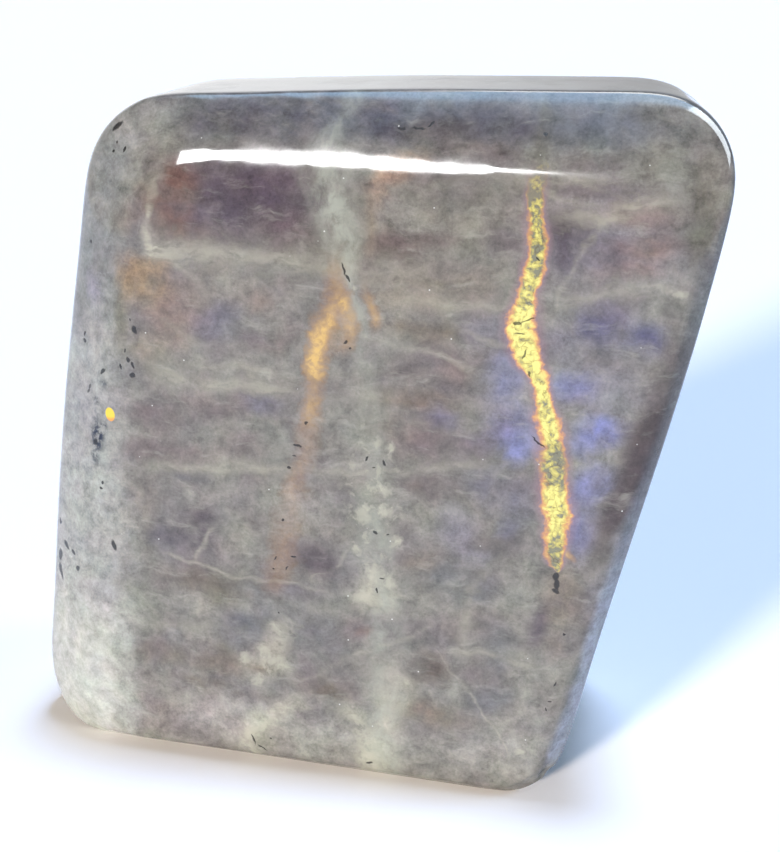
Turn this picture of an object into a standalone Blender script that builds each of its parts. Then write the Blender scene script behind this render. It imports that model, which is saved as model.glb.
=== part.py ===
# Labradorite freeform tower: one upright piece of stone, sawn flat below and polished all round.
# Metres, +Z up. The face that shows the flash looks along -Y. The origin is on the flat base,
# below the middle of the stone's box.
import math
from collections import namedtuple

import bmesh
import bpy
from mathutils import Vector

MM = 0.001
NODE_NAME = "labradorite_stone"

# Driving dimensions, in millimetres, as seen from the front: X to the right, Z up

# The straight sides of the outline meet in these corners, before the corners are rounded off
CORNERS = {
    "bottom_left": (-55.7, 0.0),
    "bottom_right": (27.4, 0.0),
    "top_right": (49.0, 99.4),
    "top_left": (-43.0, 96.9),
}
CORNER_RADIUS = {"bottom_left": 10.3, "bottom_right": 9.0, "top_right": 10.5, "top_left": 14.2}
FACE_CORNER_RADIUS = {"bottom_left": 8.0, "bottom_right": 6.0, "top_right": 9.0, "top_left": 5.0}

# The sides run anticlockwise seen from the front. A pair holds the values at its two ends.
# bow: how far the side stands out from a straight line, most at the share of its length in peak
# bevel: width taken off the face; drop: how far back the bevel reaches
# roll: radius between face and bevel; edge: radius between bevel and side wall
# taper: how much the wall draws in towards the back; heel: radius of the back edge
SIDES = {
    "bottom": {"from": "bottom_left", "to": "bottom_right", "bow": 0.0, "peak": 0.5,
               "bevel": (2.0, 1.1), "drop": (3.2, 1.1), "roll": 1.6, "edge": 0.8,
               "taper": (0.0, 0.0), "heel": 2.5},
    "right": {"from": "bottom_right", "to": "top_right", "bow": 0.75, "peak": 0.72,
              "bevel": (2.6, 1.2), "drop": (3.4, 2.6), "roll": 3.0, "edge": 2.0,
              "taper": (0.8, 3.8), "heel": 5.0},
    "top": {"from": "top_right", "to": "top_left", "bow": 0.4, "peak": 0.5,
            "bevel": (11.5, 8.0), "drop": (7.0, 6.0), "roll": 12.0, "edge": 1.0,
            "taper": (-0.1, -0.1), "heel": 5.0},
    "left": {"from": "top_left", "to": "bottom_left", "bow": 0.75, "peak": 0.5,
             "bevel": (9.5, 10.0), "drop": (6.5, 7.0), "roll": 13.0, "edge": 4.0,
             "taper": (2.0, 3.0), "heel": 6.0},
}
SIDE_ORDER = ("bottom", "right", "top", "left")

# Face and back are nearly flat and lean towards each other as they rise
FACE_FOOT_Y = -15.7
FACE_LEAN = math.radians(4.0)
FACE_DOME = 1.2
BACK_FOOT_Y = 26.5
BACK_LEAN = math.radians(2.6)
BACK_DOME = 1.8
SMALLEST_CORNER = 3.0
FLAT_TOLERANCE = 0.0001

# How finely the surface is divided
SIDE_STEPS = 20
CORNER_STEPS = 3
ROLL_STEPS = 4
EDGE_STEPS = 3
WALL_STEPS = 3
HEEL_STEPS = 5

# Smooth shading stops at edges sharper than this
SHARP_ANGLE = math.radians(40.0)

# Polished grey stone
STONE_COLOUR = (0.27, 0.25, 0.25, 1.0)
STONE_ROUGHNESS = 0.16
STONE_METALLIC = 0.0


Station = namedtuple("Station", "inset behind_face before_back back_share")


def mix(a, b, t):
    return a + (b - a) * t


def smooth(t):
    return t * t * (3.0 - 2.0 * t)


def bulge(share, peak):
    # 0 at both ends of a side and 1 at the peak
    return (share / peak) ** (4.0 * peak) * ((1.0 - share) / (1.0 - peak)) ** (4.0 * (1.0 - peak))


def blend(first, second, share):
    return Station(*[mix(a, b, share) for a, b in zip(first, second)])


def depth_at(z, station):
    face_y = FACE_FOOT_Y + z * math.tan(FACE_LEAN)
    back_y = BACK_FOOT_Y - z * math.tan(BACK_LEAN)
    return mix(face_y + station.behind_face, back_y - station.before_back, station.back_share)


def fillet(before, corner, after, radius, steps):
    # Points of the round corner between two straight runs, its two ends included
    into = (corner - before).normalized()
    out = (after - corner).normalized()
    turn = into.angle(out)
    longest = 0.49 * min((corner - before).length, (after - corner).length)
    reach = min(radius * math.tan(turn / 2), longest)
    radius = reach / math.tan(turn / 2)
    inward = (out - into * out.dot(into)).normalized()
    centre = corner - into * reach + inward * radius
    points = []
    for step in range(steps + 1):
        angle = turn * step / steps
        points.append(centre + (into * math.sin(angle) - inward * math.cos(angle)) * radius)
    return points


def side_stations(side, end):
    # The side's profile at one of its ends, from the face round to the back
    depth = BACK_FOOT_Y - FACE_FOOT_Y
    bevel = side["bevel"][end]
    taper = side["taper"][end]
    face = Vector((3.0 * bevel, 0.0))
    shoulder = Vector((bevel, 0.0))
    rim = Vector((0.0, side["drop"][end]))
    heel = Vector((taper, depth))
    back = Vector((taper + 3.0 * side["heel"], depth))
    front_points = fillet(face, shoulder, rim, side["roll"], ROLL_STEPS)
    front_points += fillet(shoulder, rim, heel, side["edge"], EDGE_STEPS)
    front = [Station(point.x, point.y, 0.0, 0.0) for point in front_points]
    heel_points = fillet(rim, heel, back, side["heel"], HEEL_STEPS)
    rear = [Station(point.x, 0.0, depth - point.y, 1.0) for point in heel_points]
    wall = []
    for step in range(1, WALL_STEPS):
        share = step / WALL_STEPS
        inset = mix(front[-1].inset, rear[0].inset, share)
        wall.append(Station(inset, front[-1].behind_face, rear[0].before_back, share))
    return front + wall + rear


def inset_line(side, ends):
    # The side's straight line, drawn into the outline by its own amount at each end
    start = Vector(CORNERS[side["from"]])
    end = Vector(CORNERS[side["to"]])
    along = (end - start).normalized()
    inward = Vector((-along.y, along.x))
    return start + inward * ends[0].inset, end + inward * ends[1].inset


def crossing(line, other):
    along = line[1] - line[0]
    other_along = other[1] - other[0]
    gap = other[0] - line[0]
    reach = gap.cross(other_along) / along.cross(other_along)
    return line[0] + along * reach


def corner_radius(name, station, index):
    # Tight where the face ends, full at the outline, tightening again towards the back
    if station.back_share > 0.0:
        return max(CORNER_RADIUS[name] - 0.6 * station.inset, SMALLEST_CORNER)
    share = smooth(min(index / ROLL_STEPS, 1.0))
    return mix(FACE_CORNER_RADIUS[name], CORNER_RADIUS[name], share)


def corner_arcs(ends, index):
    # The round corner at the start of each side
    count = len(SIDE_ORDER)
    lines = [inset_line(SIDES[name], ends[name]) for name in SIDE_ORDER]
    corners = [crossing(lines[number - 1], lines[number]) for number in range(count)]
    arcs = []
    for number, name in enumerate(SIDE_ORDER):
        radius = corner_radius(SIDES[name]["from"], ends[name][0], index)
        following = corners[(number + 1) % count]
        arcs.append(fillet(corners[number - 1], corners[number], following, radius, 2 * CORNER_STEPS))
    return arcs


def side_points(number, ends, arcs):
    # One side of a ring, from the middle of its first corner up to the middle of its last
    name = SIDE_ORDER[number]
    side = SIDES[name]
    before = ends[SIDE_ORDER[number - 1]][1]
    start_station, end_station = ends[name]
    after = ends[SIDE_ORDER[(number + 1) % len(SIDE_ORDER)]][0]
    start_arc = arcs[number]
    end_arc = arcs[(number + 1) % len(SIDE_ORDER)]
    start = start_arc[-1]
    end = end_arc[0]
    outward = Vector((end.y - start.y, start.x - end.x)).normalized()
    straight_steps = SIDE_STEPS - 2 * CORNER_STEPS
    points = []
    for step in range(SIDE_STEPS):
        if step < CORNER_STEPS:
            place = start_arc[CORNER_STEPS + step]
            share = smooth(0.5 + 0.5 * step / CORNER_STEPS)
            station = blend(before, start_station, share)
        elif step <= CORNER_STEPS + straight_steps:
            share = (step - CORNER_STEPS) / straight_steps
            place = start.lerp(end, share) + outward * side["bow"] * bulge(share, side["peak"])
            station = blend(start_station, end_station, share)
        else:
            turned = step - CORNER_STEPS - straight_steps
            place = end_arc[turned]
            station = blend(end_station, after, smooth(0.5 * turned / CORNER_STEPS))
        points.append(Vector((place.x, depth_at(place.y, station), place.y)))
    return points


def ring(stations, index):
    # One closed row of points round the stone
    ends = {name: [profile[index] for profile in stations[name]] for name in SIDE_ORDER}
    arcs = corner_arcs(ends, index)
    points = []
    for number in range(len(SIDE_ORDER)):
        points += side_points(number, ends, arcs)
    return points


def add_patch(shape, border, dome):
    # Fills a ring of vertices with a grid that swells by the dome's height in its middle
    steps = SIDE_STEPS
    bottom = border[:steps + 1]
    right = border[steps:2 * steps + 1]
    top = border[2 * steps:3 * steps + 1][::-1]
    left = (border[3 * steps:] + border[:1])[::-1]
    rows = [bottom]
    for row in range(1, steps):
        v = row / steps
        line = [left[row]]
        for column in range(1, steps):
            u = column / steps
            ruled = bottom[column].co.lerp(top[column].co, v) + left[row].co.lerp(right[row].co, u)
            flat = bottom[0].co.lerp(bottom[-1].co, u).lerp(top[0].co.lerp(top[-1].co, u), v)
            place = ruled - flat
            across = (place - left[row].co).length / (right[row].co - left[row].co).length
            up = (place - bottom[column].co).length / (top[column].co - bottom[column].co).length
            place.y += dome * 16.0 * across * (1.0 - across) * up * (1.0 - up)
            line.append(shape.verts.new(place))
        rows.append(line + [right[row]])
    rows.append(top)
    for lower, upper in zip(rows, rows[1:]):
        for column in range(steps):
            shape.faces.new((lower[column], lower[column + 1], upper[column + 1], upper[column]))


def build_stone():
    stations = {name: (side_stations(SIDES[name], 0), side_stations(SIDES[name], 1))
                for name in SIDE_ORDER}
    shape = bmesh.new()
    rings = []
    for index in range(len(stations["bottom"][0])):
        rings.append([shape.verts.new(point * MM) for point in ring(stations, index)])
    around = len(rings[0])
    for lower, upper in zip(rings, rings[1:]):
        for number in range(around):
            following = (number + 1) % around
            shape.faces.new((lower[number], lower[following], upper[following], upper[number]))
    add_patch(shape, rings[0], -FACE_DOME * MM)
    add_patch(shape, rings[-1], BACK_DOME * MM)
    bmesh.ops.recalc_face_normals(shape, faces=shape.faces)
    stand_on_origin(shape)
    return shape


def stand_on_origin(shape):
    middle_x, middle_y = [(min(vert.co[axis] for vert in shape.verts)
                           + max(vert.co[axis] for vert in shape.verts)) / 2 for axis in (0, 1)]
    lowest = min(vert.co.z for vert in shape.verts)
    for vert in shape.verts:
        vert.co.x -= middle_x
        vert.co.y -= middle_y
        vert.co.z -= lowest
        if vert.co.z < FLAT_TOLERANCE * MM:
            vert.co.z = 0.0


def stone_material():
    material = bpy.data.materials.new("polished_stone")
    material.use_nodes = True
    shader = material.node_tree.nodes["Principled BSDF"]
    shader.inputs["Base Color"].default_value = STONE_COLOUR
    shader.inputs["Roughness"].default_value = STONE_ROUGHNESS
    shader.inputs["Metallic"].default_value = STONE_METALLIC
    return material


def main():
    for existing in list(bpy.data.objects):
        bpy.data.objects.remove(existing, do_unlink=True)
    shape = build_stone()
    mesh = bpy.data.meshes.new(NODE_NAME)
    shape.to_mesh(mesh)
    shape.free()
    mesh.shade_smooth()
    mesh.set_sharp_from_angle(angle=SHARP_ANGLE)
    mesh.materials.append(stone_material())
    stone = bpy.data.objects.new(NODE_NAME, mesh)
    bpy.context.collection.objects.link(stone)


main()
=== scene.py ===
# Looks of the labradorite tower. Lengths in the dictionaries are millimetres, and a colour
# there is the sRGB value that the stone's front shows when the lamps light it.

import math
from functools import reduce

import bmesh
import bpy
from mathutils import Matrix, Quaternion, Vector


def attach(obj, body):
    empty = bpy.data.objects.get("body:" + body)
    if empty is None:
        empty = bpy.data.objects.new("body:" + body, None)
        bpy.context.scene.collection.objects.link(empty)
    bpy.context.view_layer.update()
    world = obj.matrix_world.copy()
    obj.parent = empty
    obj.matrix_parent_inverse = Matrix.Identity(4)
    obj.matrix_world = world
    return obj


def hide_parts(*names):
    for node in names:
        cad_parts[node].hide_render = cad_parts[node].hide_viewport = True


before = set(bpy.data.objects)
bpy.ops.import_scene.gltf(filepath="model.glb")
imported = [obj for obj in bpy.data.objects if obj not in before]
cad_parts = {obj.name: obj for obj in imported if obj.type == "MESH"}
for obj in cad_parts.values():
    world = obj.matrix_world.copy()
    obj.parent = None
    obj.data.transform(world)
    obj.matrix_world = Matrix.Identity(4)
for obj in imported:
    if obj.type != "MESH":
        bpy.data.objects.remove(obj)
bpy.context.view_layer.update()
mm = 0.001
print("frame loaded")


class Wire:
    # One socket of a node tree. Sums on it add Math nodes.
    def __init__(self, tree, socket=None):
        self.tree = tree
        self.socket = socket

    def node(self, kind, settings=None, sockets=None, output=0):
        # adds any node: its settings first, then the values or links of its sockets
        made = self.tree.nodes.new(kind)
        for name, value in (settings or {}).items():
            if name == "stops":
                setStops(made.color_ramp, value)
            elif name == "points":
                setPoints(made.mapping, value)
            else:
                setattr(made, name, value)
        for name, value in (sockets or {}).items():
            if isinstance(value, Wire):
                self.tree.links.new(value.socket, made.inputs[name])
            else:
                made.inputs[name].default_value = value
        return Wire(self.tree, made.outputs[output] if len(made.outputs) else None)

    def math(self, operation, *others):
        values = dict(enumerate((self, *others)))
        return self.node("ShaderNodeMath", {"operation": operation}, values)

    def vector(self, operation, other):
        # a vector sum with another vector, or SCALE with a number
        second = 3 if operation == "SCALE" else 1
        return self.node("ShaderNodeVectorMath", {"operation": operation}, {0: self, second: other})

    def __add__(self, other):
        return self.math("ADD", other)

    __radd__ = __add__

    def __sub__(self, other):
        return self.math("SUBTRACT", other)

    def __rsub__(self, other):
        return self.node("ShaderNodeMath", {"operation": "SUBTRACT"}, {0: other, 1: self})

    def __mul__(self, other):
        return self.math("MULTIPLY", other)

    __rmul__ = __mul__

    def __truediv__(self, other):
        return self.math("DIVIDE", other)

    def __rtruediv__(self, other):
        return self.node("ShaderNodeMath", {"operation": "DIVIDE"}, {0: other, 1: self})

    def __abs__(self):
        return self.math("ABSOLUTE")


def setStops(ramp, stops):
    while len(ramp.elements) < len(stops):
        ramp.elements.new(0.5)
    for element, (place, colour) in zip(ramp.elements, stops):
        element.position = place
        element.color = colour


def setPoints(mapping, points):
    # a short level step at each end keeps the curve level beyond its ends too
    points = sorted(points)
    (first, low), (last, high) = points[0], points[-1]
    points = [(first - 0.01, low)] + points + [(last + 0.01, high)]
    line = mapping.curves[0]
    while len(line.points) < len(points):
        line.points.new(0.5, 0.5)
    for knot, place in zip(line.points, points):
        knot.location = place
        knot.handle_type = "AUTO_CLAMPED"
    mapping.extend = "HORIZONTAL"
    mapping.update()


def linear(value):
    # one sRGB value from 0 to 255 as light from 0 to 1
    share = value / 255
    return share / 12.92 if share <= 0.04045 else ((share + 0.055) / 1.055) ** 2.4


# What the lamps do to the stone's front: red, green and blue light on its paint, and the haze
# of the polish over it, where 1 is white in the picture. The gold seam also has a painted glow,
# an emission that makes its flash look brightly lit.
light = {"onFace": (2.1, 1.87, 1.72), "haze": (0.046, 0.056, 0.068), "flash": 0.22}


def seen(*colour):
    # the paint that shows this colour on the lit front
    def paint(value, shine, haze):
        return min(0.9, max(0.004, (linear(value) - haze) / shine))

    return (*map(paint, colour, light["onFace"], light["haze"]), 1)


def between(value, low, high):
    # runs smoothly from 0 at low to 1 at high, also where low is the larger
    ends = {"Value": value, "From Min": low, "From Max": high}
    return value.node("ShaderNodeMapRange", {"interpolation_type": "SMOOTHSTEP", "clamp": False}, ends)


def atLeast(low, share):
    # lifts a share so that it runs from low to 1
    return low + (1 - low) * share


def axis(place, number):
    # x, y or z of a place
    return place.node("ShaderNodeSeparateXYZ", {}, {0: place}, number)


def layOver(under, over, share):
    # one colour laid over another
    return share.node("ShaderNodeMix", {"data_type": "RGBA"}, {0: share, 6: under, 7: over}, 2)


def coat(under, colour, share):
    # the same with a plain colour, as it is seen on the stone
    return layOver(under, seen(*colour), share)


def shades(wire, steps):
    # a ramp of such colours
    stops = [(at, seen(*colour)) for at, colour in steps]
    return wire.node("ShaderNodeValToRGB", {"stops": stops}, {"Fac": wire})


def cloud(place, size, detail=3, roughness=0.5, output=0):
    # soft noise whose lumps are about that many millimetres across, or (x, y, z) millimetres
    if isinstance(size, tuple):
        place = place.vector("DIVIDE", size)
        size = 1
    values = {"Vector": place, "Scale": 1 / size, "Detail": detail, "Roughness": roughness}
    return place.node("ShaderNodeTexNoise", {}, values, output)


# How the script lays out the stone: a curve's places run over 0 to 1 for span millimetres, and
# the half widths of lines for widest millimetres.
span = 100
widest = 10


def sideOf(x):
    return x / span + 0.5


def heightOf(z):
    return z / span


def follow(wire, points):
    # a smooth curve through the points, read at the wire's value
    return wire.node("ShaderNodeFloatCurve", {"points": points}, {"Value": wire})


leaningPlaces = {}


def leaning(place, turn):
    # the same place in axes that lean clockwise, made once for each turn in degrees
    if turn == 0:
        return place
    key = (place.tree.name, place.socket.node.name, turn)
    if key not in leaningPlaces:
        values = {"Vector": place, "Angle": -math.radians(turn)}
        leaningPlaces[key] = place.node("ShaderNodeVectorRotate", {"rotation_type": "Y_AXIS"}, values)
    return leaningPlaces[key]


def blob(place, centre, radii, turn=0):
    # 0 at the middle of an egg shape and 1 on its surface
    middle = Matrix.Rotation(-math.radians(turn), 3, "Y") @ Vector(centre)
    shrink = [1 / radius for radius in radii]
    offset = [-part / radius for part, radius in zip(middle, radii)]
    values = {0: leaning(place, turn), 1: shrink, 2: offset}
    shrunk = place.node("ShaderNodeVectorMath", {"operation": "MULTIPLY_ADD"}, values)
    return shrunk.node("ShaderNodeVectorMath", {"operation": "LENGTH"}, {0: shrunk}, 1)


stone = {
    "node": "labradorite_stone",
    "slot": "stone",
    "mergeDistance": 0.01,
    "subdivisions": 2,
    "joinTurn": 12,          # degrees that flat neighbours may turn and still be joined
    "joinSkew": 60,
    "baseEdge": 2.5,         # faces lower than this that turn sharply keep the crisp lower edge
    "sharpTurn": 28,         # degrees
    "crispness": 0.8,
    "buffedFrom": (2, 6),    # heights where the last buffing starts and where it is full
    "waveHeight": 0.09,      # how far hand polishing left the faces uneven
    "waveLength": 17,
    "rounding": 32,          # passes of the last buffing, which softens the ridges
    "nickPlace": (30.6, -19.4, 3.4),
    "nickRadius": 1.7,
    "nickDepth": 0.5,
    "seed": 4.0,
}


def polishTree(material):
    # softens the ridges, moves the skin by slow waves, dents the nick and gives the finish
    tree = bpy.data.node_groups.new("hand polish", "GeometryNodeTree")
    ports = {
        "Geometry": "NodeSocketGeometry",
        "Wave Height": "NodeSocketFloat",
        "Wave Length": "NodeSocketFloat",
        "Rounding": "NodeSocketInt",
        "Nick Place": "NodeSocketVector",
        "Nick Radius": "NodeSocketFloat",
        "Nick Depth": "NodeSocketFloat",
        "Seed": "NodeSocketFloat",
    }
    for name, kind in ports.items():
        tree.interface.new_socket(name=name, in_out="INPUT", socket_type=kind)
    tree.interface.new_socket(name="Geometry", in_out="OUTPUT", socket_type="NodeSocketGeometry")
    start = tree.nodes.new("NodeGroupInput")
    port = {name: Wire(tree, start.outputs[name]) for name in ports}
    place = Wire(tree).node("GeometryNodeInputPosition")
    outward = Wire(tree).node("GeometryNodeInputNormal")
    above = axis(place, 2)

    def buffed(value, kind):
        # the crisp lower edge and the flat base stay as they are
        low, high = stone["buffedFrom"]
        weight = between(above, low * mm, high * mm)
        values = {"Value": value, "Iterations": port["Rounding"], "Weight": weight}
        return place.node("GeometryNodeBlurAttribute", {"data_type": kind}, values)

    # the ridges get back, spread out, the width that the buffing takes
    softer = buffed(place, "FLOAT_VECTOR")
    lost = {0: place.vector("SUBTRACT", softer), 1: outward}
    taken = place.node("ShaderNodeVectorMath", {"operation": "DOT_PRODUCT"}, lost, 1)
    given = buffed(taken, "FLOAT")
    waves = place.node(
        "ShaderNodeTexNoise",
        {"noise_dimensions": "4D"},
        {"Vector": place, "W": port["Seed"], "Scale": 1 / port["Wave Length"], "Detail": 1},
    )
    ends = {0: place, 1: port["Nick Place"]}
    nearNick = place.node("ShaderNodeVectorMath", {"operation": "DISTANCE"}, ends, 1)
    dent = between(nearNick / port["Nick Radius"], 1.0, 0.35) * port["Nick Depth"]
    # the waves only go inwards, so that the stone stays inside its packed size
    depth = waves * port["Wave Height"] + dent - given
    values = {
        "Geometry": port["Geometry"],
        "Selection": above.math("GREATER_THAN", 0.0001),
        "Position": softer,
        "Offset": outward.vector("SCALE", depth * -1),
    }
    moved = place.node("GeometryNodeSetPosition", {}, values)
    values = {"Geometry": moved, "Name": "soft paint", "Value": softPaint(place)}
    painted = place.node("GeometryNodeStoreNamedAttribute", {"data_type": "FLOAT_COLOR"}, values)
    whole = place.node("GeometryNodeRealizeInstances", {}, {"Geometry": painted})
    dressed = place.node("GeometryNodeSetMaterial", {}, {"Geometry": whole, "Material": material})
    end = tree.nodes.new("NodeGroupOutput")
    tree.links.new(dressed.socket, end.inputs["Geometry"])
    return tree


def makeStone(material):
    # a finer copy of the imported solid, which the copy stands for
    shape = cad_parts[stone["node"]].data
    mesh = bmesh.new()
    mesh.from_mesh(shape)
    bmesh.ops.remove_doubles(mesh, verts=mesh.verts, dist=stone["mergeDistance"] * mm)
    bmesh.ops.join_triangles(
        mesh,
        faces=mesh.faces,
        angle_face_threshold=math.radians(stone["joinTurn"]),
        angle_shape_threshold=math.radians(stone["joinSkew"]),
    )
    crease = mesh.edges.layers.float.new("crease_edge")
    for edge in mesh.edges:
        low = max(corner.co.z for corner in edge.verts) < stone["baseEdge"] * mm
        if low and edge.calc_face_angle(0) > math.radians(stone["sharpTurn"]):
            edge[crease] = stone["crispness"]
    smooth = bpy.data.meshes.new("polished_stone")
    mesh.to_mesh(smooth)
    mesh.free()
    piece = bpy.data.objects.new("polished_stone", smooth)
    bpy.context.collection.objects.link(piece)
    finer = piece.modifiers.new("finer", "SUBSURF")
    finer.levels = stone["subdivisions"]
    finer.render_levels = stone["subdivisions"]
    polish = piece.modifiers.new("polish", "NODES")
    polish.node_group = polishTree(material)
    values = {
        "Wave Height": stone["waveHeight"] * mm,
        "Wave Length": stone["waveLength"] * mm,
        "Rounding": stone["rounding"],
        "Nick Place": [value * mm for value in stone["nickPlace"]],
        "Nick Radius": stone["nickRadius"] * mm,
        "Nick Depth": stone["nickDepth"] * mm,
        "Seed": stone["seed"],
    }
    for item in polish.node_group.interface.items_tree:
        if item.in_out == "INPUT" and item.name in values:
            polish[item.identifier] = values[item.name]
    depsgraph = bpy.context.evaluated_depsgraph_get()
    finished = bpy.data.meshes.new_from_object(piece.evaluated_get(depsgraph))
    piece.modifiers.clear()
    piece.data = finished
    finished.shade_smooth()
    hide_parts(stone["node"])
    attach(piece, "root")
    print("stone made,", len(finished.polygons), "faces")
    return piece


# Paints of the stone, as they show under the lamps.
paints = {
    "ink": (86, 80, 92),
    "violet": (106, 99, 112),
    "dusk": (120, 117, 138),
    "navy": (104, 106, 140),
    "slate": (115, 116, 125),
    "steel": (112, 120, 136),
    "plum": (126, 111, 117),
    "umber": (94, 83, 76),
    "brown": (128, 113, 101),
    "brick": (134, 104, 98),
    "rose": (150, 125, 120),
    "amber": (172, 144, 116),
    "peach": (192, 162, 142),
    "tan": (164, 149, 134),
    "olive": (124, 122, 108),
    "moss": (150, 152, 140),
    "grey": (150, 147, 142),
    "mist": (150, 152, 154),
    "haze": (152, 148, 166),
    "blue": (134, 138, 188),
    "bright": (142, 150, 214),
    "pale": (178, 175, 168),
    "shell": (186, 179, 175),
    "cream": (206, 202, 182),
}

# The body from its darkest hollows to its palest clouds, and the painted sheen of the left bevel from top
# to foot.
body = [
    (0.2, (112, 105, 111)), (0.42, (136, 131, 131)), (0.6, (151, 148, 143)), (0.85, (174, 171, 163)),
]
# painted sheen of the left bevel: where its edge is, how light it is at each height, and its colours
leftSheen = {
    "edge": [(0, -32.5), (15, -32), (45, -31), (65, -31.6), (77, -30.6), (87, -29.5), (93, -30),
             (100, -33)],
    "light": [(0, 0.98), (12, 0.93), (20, 0.78), (26, 0.5), (33, 0.42), (45, 0.42), (52, 0.3),
              (60, 0.36), (68, 0.1), (80, 0.02), (92, 0.05)],
    "colours": [(0, (144, 144, 144)), (0.3, (170, 171, 170)), (0.62, (194, 194, 188)),
                (1, (216, 215, 206))],
}

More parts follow.
